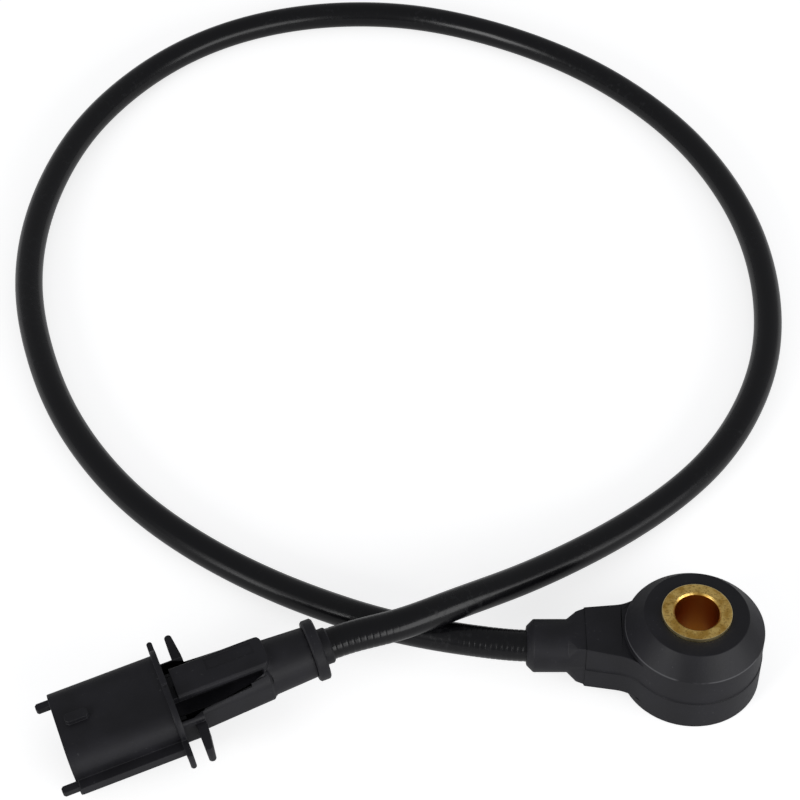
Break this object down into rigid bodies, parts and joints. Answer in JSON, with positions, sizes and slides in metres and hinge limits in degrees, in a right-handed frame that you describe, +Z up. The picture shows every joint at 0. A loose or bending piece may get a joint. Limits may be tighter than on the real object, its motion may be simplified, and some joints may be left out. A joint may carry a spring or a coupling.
{
  "type": "engine knock sensor",
  "caption": "Ring-type engine knock sensor: moulded housing on a brass bolt bush, with its cable and a moulded blade-terminal plug.",
  "frame": {"origin": "bush axis at the seat face that lies on the engine block", "axes": "+Z up the bush axis towards the bolt head, -X towards the sensor's cable exit"},
  "size_m": [0.1682, 0.2358, 0.0189],
  "materials": {
    "housing_plastic": "fine moulded grain",
    "plug_plastic": "fine moulded grain",
    "carrier_plastic": "moulded",
    "bush_brass": "turned",
    "insulating_film": "stamped film",
    "contact_bronze": "stamped",
    "piezo_ceramic": "fired",
    "mass_steel": "turned",
    "spring_steel": "pressed",
    "core_red": "extruded",
    "core_blue": "extruded",
    "cable_sheath": "glossy extruded sheath"
  },
  "bodies": {
    "root": {"sensor_housing": "housing_plastic", "brass_bush": "bush_brass", "bush_sleeve": "insulating_film", "lower_insulator": "insulating_film", "lower_contact": "contact_bronze", "piezo_ring": "piezo_ceramic", "upper_contact": "contact_bronze", "upper_insulator": "insulating_film", "seismic_mass": "mass_steel", "disc_spring": "spring_steel", "ring_nut": "bush_brass", "signal_crimp": "contact_bronze", "ground_crimp": "contact_bronze", "sensor_signal_lead": "core_red", "sensor_ground_lead": "core_blue", "cable": "cable_sheath", "plug_shell": "plug_plastic", "plug_rear_cap": "plug_plastic", "terminal_carrier": "carrier_plastic", "signal_terminal": "contact_bronze", "ground_terminal": "contact_bronze", "plug_signal_lead": "core_red", "plug_ground_lead": "core_blue"}
  },
  "joints": []
}
